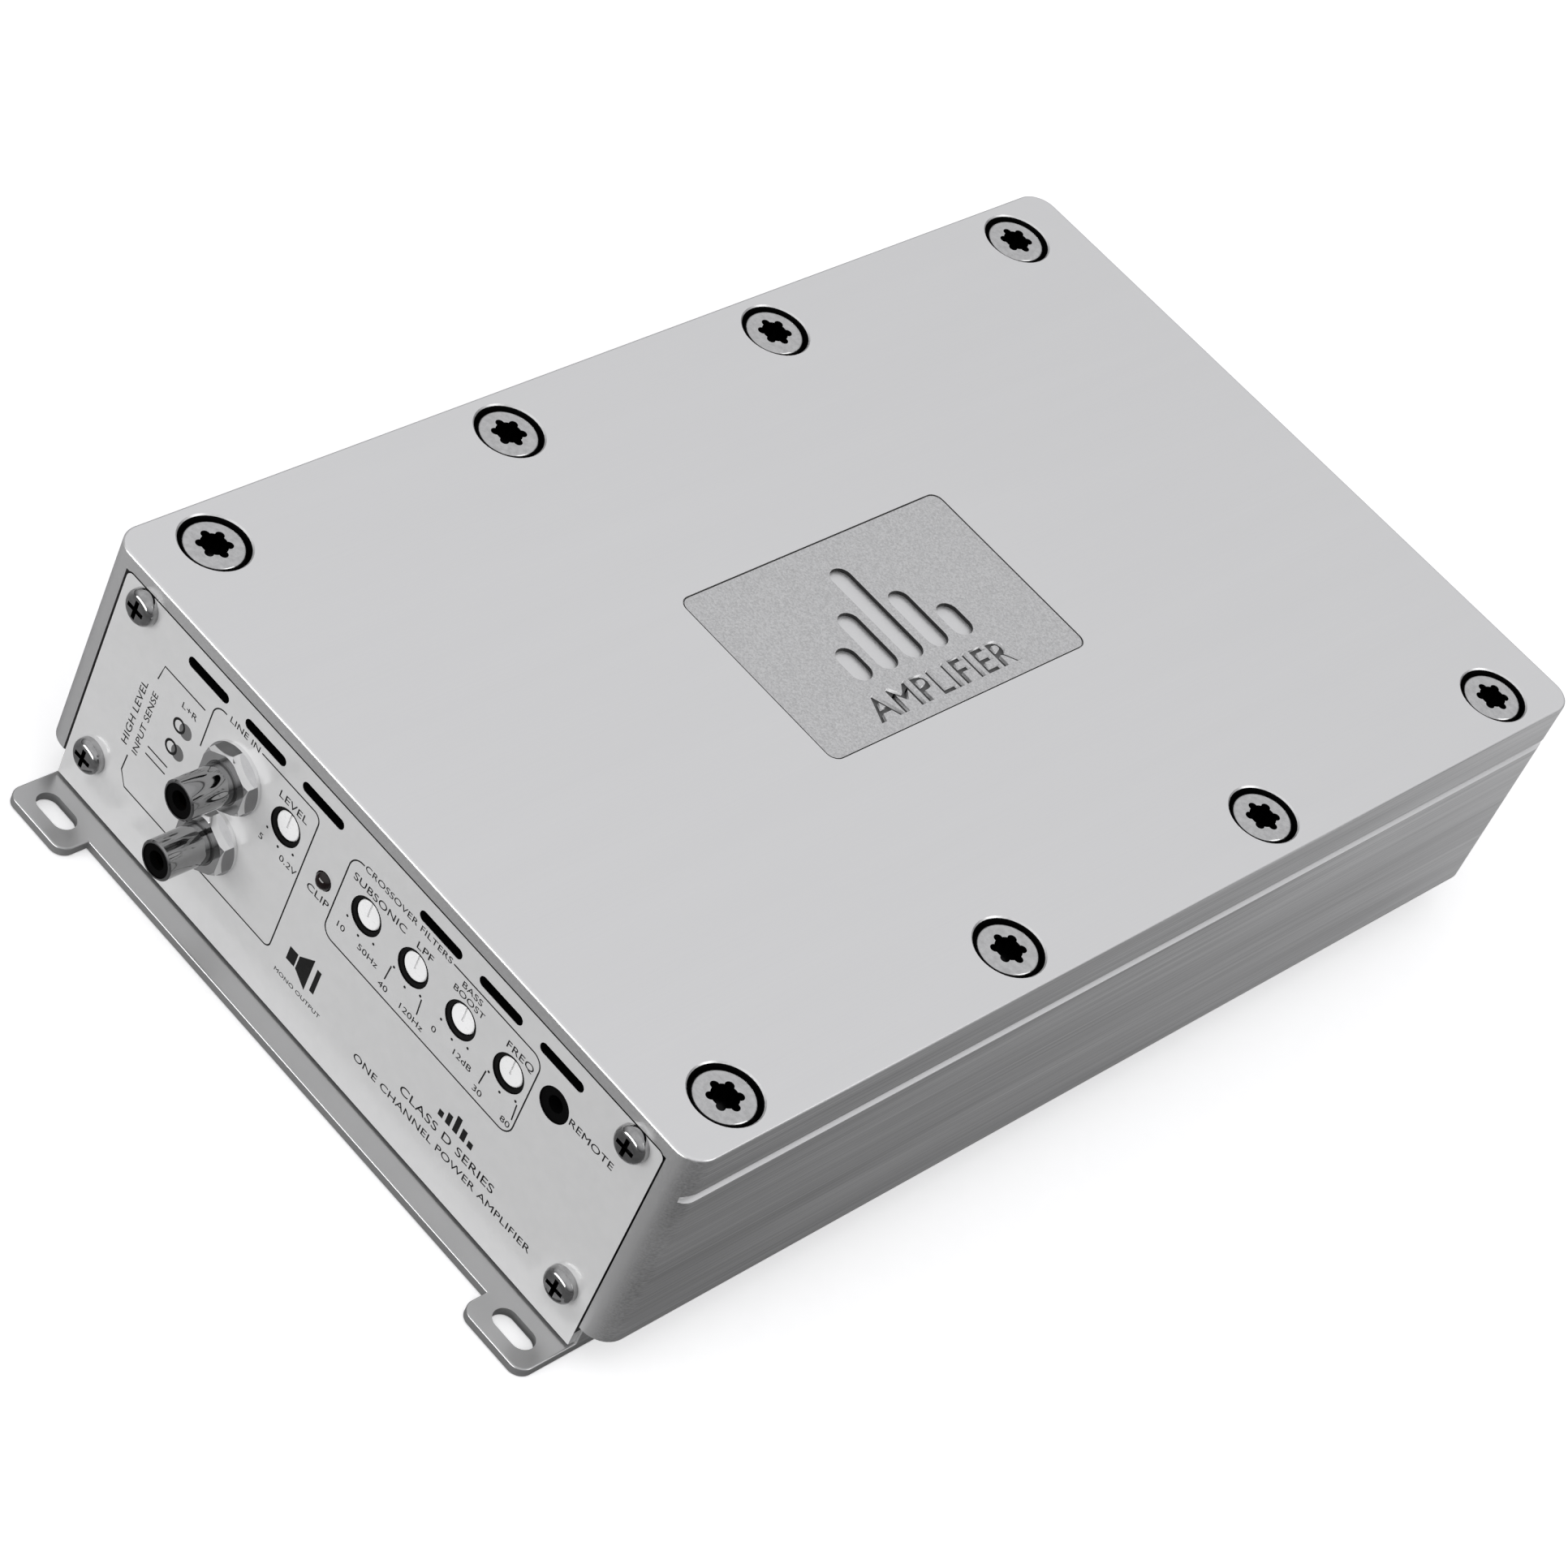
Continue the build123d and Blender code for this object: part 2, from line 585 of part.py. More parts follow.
def save_fuse_holder():
    """Holder with a pocket for each blade, and the forked contacts in the pockets."""
    holder = fillet(block(HOLDER_X, HOLDER_Y, HOLDER_Z).faces().sort_by(Axis.Y)[-1].edges(), 0.6)
    contacts = []
    pocket_y0 = FUSE_BLADE_Y0 - 3
    for x in FUSE_X:
        for offset in (-BLADE_OFFSET, BLADE_OFFSET):
            z = FUSE_Z + offset
            pocket_z = (z - BLADE_W / 2 - 0.5, z + BLADE_W / 2 + 0.5)
            holder -= block((x - 1.6, x + 1.6), (pocket_y0, HOLDER_Y[1] + 1), pocket_z)
            fork = block((x - 1.5, x + 1.5), (pocket_y0, HOLDER_Y[1] - 1.5), (z - 2.2, z + 2.2))
            fork -= block((x - 0.7, x + 0.7), (pocket_y0 + 1, HOLDER_Y[1]), (z - 3, z + 3))
            contacts.append(fork)
    save("fuse_holder", holder)
    save("fuse_contacts", *contacts)


def save_terminal_end():
    power_ports, speaker_ports = PORTS[:3], PORTS[3:]
    save("power_terminal_block", make_terminal_block(POWER_BLOCK_X, power_ports))
    save("speaker_terminal_block", make_terminal_block(SPEAKER_BLOCK_X, speaker_ports))
    save("power_wire_clamps", *[make_wire_clamp(port) for port in power_ports])
    save("speaker_wire_clamps", *[make_wire_clamp(port) for port in speaker_ports])
    for port in PORTS:
        save(f"{port[0]}_set_screw", make_set_screw(port))
    save("bus_bars", *[make_bus_bar(port) for port in PORTS])
    save_fuse_holder()
    for number, x in enumerate(FUSE_X, start=1):
        save(f"fuse_{number}", make_fuse(x))
    save("power_led", make_led(POWER_LED_X, POWER_LED_Z, 1))


# ---- inside
def standoff_places():
    return [(side * STANDOFF_X, y) for side in (-1, 1) for y in STANDOFF_Y]


def save_boards():
    board = block((-BOARD_HALF_W, BOARD_HALF_W), BOARD_Y, BOARD_Z)
    sheet = block((-BOARD_HALF_W, BOARD_HALF_W), (-106, 122), (BASE_T, BASE_T + 0.4))
    standoffs, screws = [], []
    for x, y in standoff_places():
        board -= rod_z(x, y, (BOARD_Z[0] - 1, BOARD_Z[1] + 1), 1.6)
        sheet -= rod_z(x, y, (0, BASE_T + 1), 4.2)
        post = Pos(x, y, BASE_T) * extrude(RegularPolygon(3.5, 6), BOARD_Z[0] - BASE_T)
        standoffs.append(post - rod_z(x, y, (3.5, BOARD_Z[0] + 1), 1.5))
        screws.append(Pos(x, y, BOARD_Z[1]) * pan_screw(2.8, 1.8, 1.45, 7))
    save("main_board", board)
    save("insulating_sheet", sheet)
    save("standoffs", *standoffs)
    save("board_screws", *screws)


def make_heat_bar(side):
    """Aluminium bar hung from the upper rail by the top screws."""
    bar_y = (-HEAT_BAR_HALF_L, HEAT_BAR_HALF_L)
    bar = block(both_ways((HEAT_BAR_X, INNER_X), side), bar_y, HEAT_BAR_Z)
    for y in TOP_SCREW_Y:
        bar -= rod_z(side * TOP_SCREW_X, y, (31, UPPER_RAIL_Z + 1), TOP_SHANK_R + RUNNING_GAP)
    for y in clamp_screw_rows():
        hole_x = both_ways((HEAT_BAR_X - 1, HEAT_BAR_X + 4), side)
        bar -= rod_x(y, CLAMP_SCREW_Z, hole_x, CLAMP_SCREW_R + RUNNING_GAP)
    return bar


def clamp_screw_rows():
    return [(low + high) / 2 for low, high in zip(TRANSISTOR_Y, TRANSISTOR_Y[1:])]


def save_power_stage():
    """Transistors held against the heat bars by a clamp bar and screws on each side."""
    pads, transistors, clamps, screws = [], [], [], []
    back = HEAT_BAR_X - PAD_T
    front = back - TRANSISTOR_T
    for side, name in ((-1, "left"), (1, "right")):
        save(f"heat_bar_{name}", make_heat_bar(side))
        for y in TRANSISTOR_Y:
            pad_y = (y - TRANSISTOR_W / 2 - 1, y + TRANSISTOR_W / 2 + 1)
            pads.append(block(both_ways((back, HEAT_BAR_X), side), pad_y, (20.5, 43.5)))
            body_y = (y - TRANSISTOR_W / 2, y + TRANSISTOR_W / 2)
            transistor = block(both_ways((front, back), side), body_y, TRANSISTOR_Z)
            for offset in (-5.45, 0, 5.45):
                lead_y = (y + offset - 0.6, y + offset + 0.6)
                transistor += block(both_ways((61.5, 62.1), side), lead_y, (BOARD_Z[1], TRANSISTOR_Z[0]))
            transistors.append(transistor)
        clamp_x = both_ways((front - CLAMP_BAR_T, front), side)
        clamp = block(clamp_x, (-108, 108), (CLAMP_SCREW_Z - 5, CLAMP_SCREW_Z + 5))
        for y in clamp_screw_rows():
            hole_x = both_ways((front - CLAMP_BAR_T - 1, front + 1), side)
            clamp -= rod_x(y, CLAMP_SCREW_Z, hole_x, CLAMP_SCREW_R + 0.1)
            screw = pan_screw(2.8, 1.8, CLAMP_SCREW_R, 10)
            spot = Pos(side * (front - CLAMP_BAR_T), y, CLAMP_SCREW_Z)
            screws.append(spot * Rot(0, -90 * side, 0) * screw)
        clamps.append(clamp)
    save("thermal_pads", *pads)
    save("transistors", *transistors)
    save("clamp_bars", *clamps)
    save("clamp_screws", *screws)


def toroid(x, y, outer_r, inner_r, height, turns, wire):
    """Ring core and its winding of separate rectangular turns."""
    z0 = BOARD_Z[1] + wire + 0.3
    core = rod_z(x, y, (z0, z0 + height), outer_r) - rod_z(x, y, (z0 - 1, z0 + height + 1), inner_r)
    gap = 0.1
    loops = []
    for step in range(turns):
        outside = block(
            (inner_r - gap - wire, outer_r + gap + wire),
            (-wire / 2, wire / 2),
            (z0 - gap - wire, z0 + height + gap + wire),
        )
        outside = fillet(outside.edges().filter_by(Axis.Y), wire * 0.8)
        inside = block((inner_r - gap, outer_r + gap), (-wire, wire), (z0 - gap, z0 + height + gap))
        loops.append(Pos(x, y, 0) * Rot(0, 0, 360 * step / turns) * (outside - inside))
    return core, loops


def save_board_parts():
    cores, windings = [], []
    for x in (-27, 27):
        core, loops = toroid(x, 42, 21, 11.5, 22, 20, 2.2)
        cores.append(core)
        windings.extend(loops)
    save("transformer_cores", *cores)
    save("transformer_windings", *windings)
    core, loops = toroid(28, -50, 20, 11, 20, 18, 2.4)
    save("output_choke_core", core)
    save("output_choke_winding", *loops)
    board_top = BOARD_Z[1]
    inlet = [rod_z(x, 80, (board_top, board_top + 32), 8) for x in (-47.5, -28.5, -9.5, 9.5, 28.5, 47.5)]
    rail = [rod_z(x, -2, (board_top, board_top + 42), 12.5) for x in (-42, -14, 14, 42)]
    save("input_capacitors", *[fillet(top_edges(can), 1) for can in inlet])
    save("rail_capacitors", *[fillet(top_edges(can), 1.2) for can in rail])
    save("driver_card", block((-52, -6), (-40, -38.4), (board_top, 46)))
    chip_rows = [(x, z) for x in (-44, -29, -14) for z in (22, 36)]
    save("driver_chips", *[block((x - 5, x + 5), (-38.4, -36), (z - 4, z + 4)) for x, z in chip_rows])
    films = [block((x - 9, x + 9), (-76, -66), (board_top, board_top + 17)) for x in (-42, -18)]
    save("film_capacitors", *[fillet(top_edges(film), 0.8) for film in films])


os.makedirs("parts", exist_ok=True)
save_case()
save_control_end()
save_terminal_end()
save_boards()
save_power_stage()
save_board_parts()
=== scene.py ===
"""Looks for the car amplifier: metals, printed panel markings, badge, light, floor and camera."""
import math

import bmesh
import bpy
from mathutils import Matrix, Vector


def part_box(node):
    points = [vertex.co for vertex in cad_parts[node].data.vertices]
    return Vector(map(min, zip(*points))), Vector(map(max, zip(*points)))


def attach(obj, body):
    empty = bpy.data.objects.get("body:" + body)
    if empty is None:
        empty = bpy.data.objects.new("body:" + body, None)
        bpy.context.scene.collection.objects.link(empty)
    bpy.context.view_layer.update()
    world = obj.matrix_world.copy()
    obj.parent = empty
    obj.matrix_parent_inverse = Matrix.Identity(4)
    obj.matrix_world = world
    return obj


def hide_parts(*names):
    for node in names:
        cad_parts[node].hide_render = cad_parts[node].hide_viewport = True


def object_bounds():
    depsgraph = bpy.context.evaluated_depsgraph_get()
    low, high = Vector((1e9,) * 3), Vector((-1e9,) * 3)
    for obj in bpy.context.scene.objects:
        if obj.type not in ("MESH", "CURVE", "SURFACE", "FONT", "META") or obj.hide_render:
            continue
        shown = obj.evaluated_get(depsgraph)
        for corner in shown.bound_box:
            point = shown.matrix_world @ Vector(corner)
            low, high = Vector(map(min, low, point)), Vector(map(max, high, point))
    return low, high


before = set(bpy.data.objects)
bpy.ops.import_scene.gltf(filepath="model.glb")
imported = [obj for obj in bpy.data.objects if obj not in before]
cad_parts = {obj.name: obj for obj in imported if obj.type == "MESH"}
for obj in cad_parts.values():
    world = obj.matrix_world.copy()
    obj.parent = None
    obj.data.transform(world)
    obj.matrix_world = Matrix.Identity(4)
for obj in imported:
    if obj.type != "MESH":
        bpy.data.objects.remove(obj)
cad_low, cad_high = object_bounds()

MM = 0.001
CASE = "case"


def centre(node):
    low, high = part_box(node)
    return (low + high) / 2


# Places taken from the CAD nodes
PANEL_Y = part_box("front_panel")[0].y  # outer face of the control panel
REAR_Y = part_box("rear_panel")[1].y
TOP_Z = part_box("housing")[1].z
BADGE_LOW, BADGE_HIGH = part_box("badge_plate")
TOP_SCREWS_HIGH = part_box("top_screws")[1]
PANEL_SCREWS_LOW, PANEL_SCREWS_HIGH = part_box("front_panel_screws")

# Screws and fuses
TOP_HEAD_R = 6.4 * MM
TOP_SOCKET_R = 3.95 * MM
WELL_R = 7.6 * MM  # the counterbore round a top screw, with its bevel
WELL_DEPTH = 6.0 * MM
PANEL_HEAD_R = 3.8 * MM
PANEL_RECESS_R = 2.6 * MM
FOOT_Z = 6.0 * MM  # below this the cut edges of the panels stay bright
FUSE_BODY_Y = 133.35 * MM  # the fuse bodies begin here, their blades lie before it

# Control panel printing
INK_LIFT = 0.02 * MM  # printing stands this far off the metal
LINE_W = 0.32 * MM
SMALL = 2.45 * MM  # letter sizes
TINY = 2.05 * MM
FRAME_TOP = 51.3 * MM
STEP_Z = FRAME_TOP - 3.8 * MM  # top of the outline's lower, left part
SOCKET_SYMBOLS = ((-54.0 * MM, 38.9 * MM), (-54.1 * MM, 33.0 * MM))
SPEAKER_SYMBOL = (-7.0 * MM, 18.2 * MM)
LEVEL_BARS = (32.0 * MM, 19.2 * MM)
CLASS_X = 36.0 * MM
SENSE_Z = 31.8 * MM  # middle of the words that run upwards
REAR_WORDS_Z = 42.5 * MM
KNOBS = {name: centre(f"{name}_knob") for name in ("level", "subsonic", "low_pass", "boost", "frequency")}
JACKS = centre("rca_shells")

# Badge
BADGE_R = 2.3 * MM
BADGE_CUT = 0.9 * MM
LETTERS_FROM = 12.0 * MM  # the word lies on this side of the badge
WORD_X = 17.0 * MM
WORD_SIZE = 9.0 * MM
BAR_FOOT = 10.0 * MM
BAR_PITCH = 7.4 * MM
BAR_HALF_W = 2.6 * MM
BAR_HEIGHTS = (9.0 * MM, 16.0 * MM, 26.0 * MM, 16.0 * MM, 9.0 * MM)


def add_object(name, data):
    piece = bpy.data.objects.new(name, data)
    bpy.context.scene.collection.objects.link(piece)
    return piece


# ---------------------------------------------------------------- camera
def make_camera():
    """Long lens from the front right, above, rolled so that the long side runs up to the right."""
    right = Vector((0.64954, 0.68388, 0.33227))
    up = Vector((-0.67583, 0.31909, 0.66441))
    back = Vector((0.34835, -0.65612, 0.66945))
    data = bpy.data.cameras.new("camera")
    data.sensor_width = 36
    data.lens = 114.65
    data.clip_start = 0.05
    data.clip_end = 50
    camera = add_object("camera", data)
    turned = Matrix((right, up, back)).transposed().to_4x4()
    camera.matrix_world = Matrix.Translation((0.3509, -0.6691, 0.6924)) @ turned
    bpy.context.scene.camera = camera


# ---------------------------------------------------------------- node helpers
class Shader:
    """A material with a Principled shader and short ways to add nodes to it."""

    def __init__(self, name):
        self.material = bpy.data.materials.new(name)
        self.material.use_nodes = True
        self.tree = self.material.node_tree
        self.bsdf = self.tree.nodes["Principled BSDF"]
        texture_coords = self.node("ShaderNodeTexCoord")
        self.coords = texture_coords.outputs["Object"]
        self.normals = texture_coords.outputs["Normal"]

    def node(self, kind, **settings):
        made = self.tree.nodes.new(kind)
        for key, value in settings.items():
            setattr(made, key, value)
        return made

    def link(self, source, target):
        self.tree.links.new(source, target)

    def plain(self, **values):
        """Sets constant sockets; underscores stand for the spaces in their names."""
        for key, value in values.items():
            self.bsdf.inputs[key.replace("_", " ")].default_value = value

    def stretched(self, scale):
        """Object coordinates scaled along each axis."""
        mapping = self.node("ShaderNodeMapping")
        mapping.inputs["Scale"].default_value = scale
        self.link(self.coords, mapping.inputs["Vector"])
        return mapping.outputs["Vector"]

    def axes(self, vector):
        """The X, Y and Z sockets of a vector."""
        made = self.node("ShaderNodeSeparateXYZ")
        self.link(vector, made.inputs["Vector"])
        return made.outputs["X"], made.outputs["Y"], made.outputs["Z"]

    def noise(self, scale, vector=None, detail=2.0, roughness=0.5):
        made = self.node("ShaderNodeTexNoise")
        made.inputs["Scale"].default_value = scale
        made.inputs["Detail"].default_value = detail
        made.inputs["Roughness"].default_value = roughness
        self.link(vector or self.coords, made.inputs["Vector"])
        return made.outputs["Fac"]

    def spread(self, value, low, high, from_low=0.3, from_high=0.7):
        """Maps a value from one range to another and holds it there."""
        made = self.node("ShaderNodeMapRange")
        made.inputs["From Min"].default_value = from_low
        made.inputs["From Max"].default_value = from_high
        made.inputs["To Min"].default_value = low
        made.inputs["To Max"].default_value = high
        self.link(value, made.inputs["Value"])
        return made.outputs["Result"]

    def math(self, operation, first, second=0.0):
        made = self.node("ShaderNodeMath", operation=operation)
        for socket, value in zip(made.inputs, (first, second)):
            if isinstance(value, (int, float)):
                socket.default_value = value
            else:
                self.link(value, socket)
        return made.outputs["Value"]

    def distance(self, first, second):
        """Length of the diagonal over two offsets."""
        squares = [self.math("MULTIPLY", offset, offset) for offset in (first, second)]
        return self.math("SQRT", self.math("ADD", *squares))

    def mix(self, factor, first, second):
        """Mixes two colours; each is a tuple or a socket."""
        made = self.node("ShaderNodeMix", data_type="RGBA")
        self.link(factor, made.inputs["Factor"])
        for socket, value in ((made.inputs[6], first), (made.inputs[7], second)):
            if isinstance(value, tuple):
                socket.default_value = (*value, 1)
            else:
                self.link(value, socket)
        return made.outputs[2]

    def colour(self, source):
        self.link(source, self.bsdf.inputs["Base Color"])

    def rough(self, source):
        self.link(source, self.bsdf.inputs["Roughness"])

    def bump(self, height, strength, distance):
        made = self.node("ShaderNodeBump")
        made.inputs["Strength"].default_value = strength
        made.inputs["Distance"].default_value = distance
        self.link(height, made.inputs["Height"])
        self.link(made.outputs["Normal"], self.bsdf.inputs["Normal"])


def grey(value):
    return (value, value, value)


# ---------------------------------------------------------------- materials
def top_screw_distance(shader, x, y):
    """Distance to the nearest screw axis in the top; the screws stand in two rows of four."""
    column = TOP_SCREWS_HIGH.x - TOP_HEAD_R
    pitch = 2 * (TOP_SCREWS_HIGH.y - TOP_HEAD_R) / 3
    dx = shader.math("SUBTRACT", shader.math("ABSOLUTE", x), column)
    fold = shader.math("MODULO", shader.math("ABSOLUTE", y), pitch)
    return shader.distance(dx, shader.math("SUBTRACT", fold, pitch / 2))


def housing_metal():
    """Clear anodised aluminium: fine satin on top, brushing along the sides; the sides are painted darker
    than the top and the screw wells near-black, both as painted shade.
    """
    shader = Shader("housing_aluminium")
    shader.plain(Metallic=0.88)
    streaks = shader.noise(1.0, shader.stretched((2600, 14, 2600)), detail=3)
    clouds = shader.noise(1.0, shader.stretched((160, 9, 160)), detail=2)
    facing_x, _, _ = shader.axes(shader.normals)
    side_shade_mask = shader.spread(shader.math("ABSOLUTE", facing_x), 0, 1, 0.3, 0.8)
    grain = shader.math("SUBTRACT", streaks, 0.5)
    grain = shader.math("ADD", grain, shader.math("MULTIPLY", shader.math("SUBTRACT", clouds, 0.5), 0.5))
    # painted shade: the sides get a darker tone than the top; their wider spread of tone follows the brushing
    side = shader.mix(shader.spread(grain, 0, 1, -0.35, 0.35), grey(0.42), grey(0.80))
    top = shader.mix(shader.spread(grain, 0, 1, -0.5, 0.5), grey(0.76), grey(0.80))
    x, y, z = shader.axes(shader.coords)
    # painted shade: the walls of the counterbores round the top screws are painted near-black
    near = shader.math("LESS_THAN", top_screw_distance(shader, x, y), WELL_R)
    sunk = shader.math("LESS_THAN", z, TOP_Z - 0.35 * MM)
    high = shader.math("GREATER_THAN", z, TOP_Z - WELL_DEPTH)
    painted_well_shade = shader.math("MULTIPLY", near, shader.math("MULTIPLY", sunk, high))
    shader.colour(shader.mix(painted_well_shade, shader.mix(side_shade_mask, top, side), grey(0.02)))
    shader.rough(shader.spread(streaks, 0.30, 0.42))
    shader.bump(streaks, 0.12, 0.00002)
    return shader.material


def satin_metal(name, dark, light, roughness=(0.28, 0.36), grain=(500, 500, 500), bump=0.04, metallic=1.0):
    """Satin metal with a little unevenness in tone and gloss."""
    shader = Shader(name)
    shader.plain(Metallic=metallic)
    speckle = shader.noise(1.0, shader.stretched(grain), detail=2)
    shader.colour(shader.mix(shader.spread(speckle, 0, 1, 0.1, 0.9), dark, light))
    shader.rough(shader.spread(speckle, *roughness))
    shader.bump(speckle, bump, 0.00002)
    return shader.material


def panel_metal():
    """Satin aluminium sheet whose cut edges are painted near-black as painted shade, so holes and slots read
    dark.
    """
    shader = Shader("panel_aluminium")
    shader.plain(Metallic=0.38)
    speckle = shader.noise(420.0, detail=2)
    satin = shader.mix(shader.spread(speckle, 0, 1, 0.1, 0.9), grey(0.77), grey(0.81))
    _, y, z = shader.axes(shader.coords)
    # painted shade: every face away from the outer faces, above the foot, is painted near-black
    inside = shader.math("LESS_THAN", shader.math("ABSOLUTE", y), REAR_Y - 0.08 * MM)
    above_foot = shader.math("GREATER_THAN", z, FOOT_Z)
    painted_edge_shade = shader.math("MULTIPLY", inside, above_foot)
    shader.colour(shader.mix(painted_edge_shade, satin, grey(0.006)))
    shader.rough(shader.spread(speckle, 0.20, 0.26))
    return shader.material


def moulded(name, dark, light, roughness=(0.42, 0.55), scale=1400.0, bump=0.12, **constants):
    """Moulded plastic or rubber with a fine skin texture."""
    shader = Shader(name)
    shader.plain(**constants)
    skin = shader.noise(scale, detail=4)
    patches = shader.noise(60.0, detail=2)
    shader.colour(shader.mix(shader.spread(patches, 0, 1), dark, light))
    shader.rough(shader.spread(skin, *roughness))
    shader.bump(skin, bump, 0.00003)
    return shader.material


def fuse_material():
    """Orange fuse plastic, with the blades that reach into the holder in bright zinc."""
    shader = Shader("fuse_plastic")
    _, y, _ = shader.axes(shader.coords)
    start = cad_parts["fuse_1"].matrix_world.translation.y
    blade = shader.math("LESS_THAN", y, FUSE_BODY_Y - start)
    patches = shader.noise(60.0, detail=2)
    plastic = shader.mix(shader.spread(patches, 0, 1), (0.72, 0.16, 0.01), (0.85, 0.22, 0.02))
    shader.colour(shader.mix(blade, plastic, grey(0.62)))
    shader.link(blade, shader.bsdf.inputs["Metallic"])
    shader.rough(shader.spread(shader.noise(1400.0), 0.12, 0.2))
    return shader.material


def screw_nickel(shader, painted_recess_shade, recess_shade_tone, dark, light, roughness):
    """Bright nickel, with painted shade near-black where the driver goes in."""
    shader.plain(Metallic=1.0)
    turned = shader.noise(900.0, detail=3)
    steel = shader.mix(shader.spread(turned, 0, 1), grey(dark), grey(light))
    shader.colour(shader.mix(painted_recess_shade, steel, grey(recess_shade_tone)))
    shader.rough(shader.spread(turned, *roughness))
    return shader.material


def top_screw_metal():
    """The top screws, whose sockets lie on a grid of two rows of four."""
    shader = Shader("top_screw_nickel")
    x, y, z = shader.axes(shader.coords)
    # painted shade: the socket of each top screw, below the head's top, is painted near-black
    inside = shader.math("LESS_THAN", top_screw_distance(shader, x, y), TOP_SOCKET_R)
    sunk = shader.math("LESS_THAN", z, TOP_SCREWS_HIGH.z - 0.25 * MM)
    socket = shader.math("MULTIPLY", inside, sunk)
    return screw_nickel(shader, socket, 0.012, 0.48, 0.60, (0.16, 0.26))


def panel_screw_metal():
    """The panel screws, one near every corner of each panel, with painted shade near-black in the cross
    recesses.
    """
    low, high = PANEL_SCREWS_LOW, PANEL_SCREWS_HIGH
    column = (high.x - low.x) / 2 - PANEL_HEAD_R
    row = (high.z - low.z) / 2 - PANEL_HEAD_R
    shader = Shader("panel_screw_nickel")
    x, y, z = shader.axes(shader.coords)
    dx = shader.math("SUBTRACT", shader.math("ABSOLUTE", x), column)
    lifted = shader.math("ABSOLUTE", shader.math("SUBTRACT", z, (high.z + low.z) / 2))
    away = shader.distance(dx, shader.math("SUBTRACT", lifted, row))
    # painted shade: the cross recess of each panel screw is painted near-black
    inside = shader.math("LESS_THAN", away, PANEL_RECESS_R)
    sunk = shader.math("LESS_THAN", shader.math("ABSOLUTE", y), -low.y - 0.75 * MM)
    painted_recess_shade = shader.math("MULTIPLY", inside, sunk)
    return screw_nickel(shader, painted_recess_shade, 0.015, 0.34, 0.44, (0.10, 0.15))


def badge_metal():
    """Grained silver plate; the walls of its cuts are painted near-black and the floors of the letters dark,
    both as painted shade; the floors of the bars are bright.
    """
    shader = Shader("badge_metal")
    shader.plain(Metallic=0.85)
    grains = shader.noise(2400.0, detail=3, roughness=0.7)
    plate = shader.mix(shader.spread(grains, 0, 1, 0.35, 0.65), grey(0.50), grey(0.72))
    x, _, z = shader.axes(shader.coords)
    low = shader.math("LESS_THAN", z, BADGE_HIGH.z - BADGE_CUT * 0.9)
    # painted shade: the floors of the letters are dark; the floors of the bars are bright
    floor = shader.mix(shader.math("GREATER_THAN", x, LETTERS_FROM), grey(0.80), grey(0.14))
    _, _, facing_z = shader.axes(shader.normals)
    # painted shade: the walls of the cuts are painted near-black
    painted_wall_shade = shader.math("LESS_THAN", facing_z, 0.5)
    shader.colour(shader.mix(painted_wall_shade, shader.mix(low, plate, floor), grey(0.035)))
    shader.rough(shader.spread(grains, 0.34, 0.5))
    shader.bump(grains, 0.5, 0.00006)
    return shader.material


def paint(material, *nodes):
    """Puts a material in every slot of these CAD nodes."""
    for name in nodes:
        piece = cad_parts[name]
        if not piece.material_slots:
            piece.data.materials.append(material)
        for place in piece.material_slots:
            place.material = material


def nodes_ending(ending):
    return [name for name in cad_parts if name.endswith(ending)]


def paint_case():
    paint(housing_metal(), "housing")
    paint(panel_metal(), "front_panel", "rear_panel")
    steel = satin_metal("base_steel", grey(0.46), grey(0.49), (0.28, 0.30), (90, 90, 90), 0.0, metallic=0.8)
    paint(steel, "base_plate")
    paint(top_screw_metal(), "top_screws")
    nickel = satin_metal("screw_nickel", grey(0.50), grey(0.58), (0.08, 0.12), bump=0.01)
    paint(nickel, "base_screws")
    paint(panel_screw_metal(), "front_panel_screws", "rear_panel_screws")


def paint_fittings():
    """Jacks, knobs, lamps, terminals and fuses."""
    chrome = satin_metal("jack_chrome", grey(0.74), grey(0.82), (0.08, 0.12), bump=0.01)
    paint(chrome, "rca_nuts", "rca_washers")
    paint(satin_metal("jack_nickel", grey(0.27), grey(0.33), (0.05, 0.08), bump=0.0), "rca_shells")
    black = moulded("black_plastic", grey(0.003), grey(0.006), Specular_IOR_Level=0.12)
    paint(black, "rca_housing", "board_connector", "pot_bodies")
    socket = moulded("socket_plastic", grey(0.0015), grey(0.003), (0.6, 0.7), Specular_IOR_Level=0.03)
    paint(socket, "rca_insulators", "remote_jack")
    paint(black, "power_terminal_block", "speaker_terminal_block", "fuse_holder")
    bronze = satin_metal("contact_bronze", (0.03, 0.02, 0.01), (0.05, 0.035, 0.018), (0.2, 0.3))
    paint(bronze, "rca_contacts")
    paint(moulded("knob_plastic", grey(0.80), grey(0.88), (0.25, 0.35)), *nodes_ending("_knob"))
    paint(moulded("clip_lens", (0.004, 0.001, 0.001), (0.008, 0.002, 0.002), (0.05, 0.1)), "clip_led")
    paint(moulded("power_lens", (0.02, 0.06, 0.25), (0.04, 0.10, 0.35), (0.05, 0.1)), "power_led")
    nickel = satin_metal("terminal_nickel", (0.58, 0.56, 0.50), (0.70, 0.68, 0.60), (0.12, 0.2))
    paint(nickel, "power_wire_clamps", "speaker_wire_clamps", "fuse_contacts")
    paint(fuse_material(), "fuse_1", "fuse_2", "fuse_3")


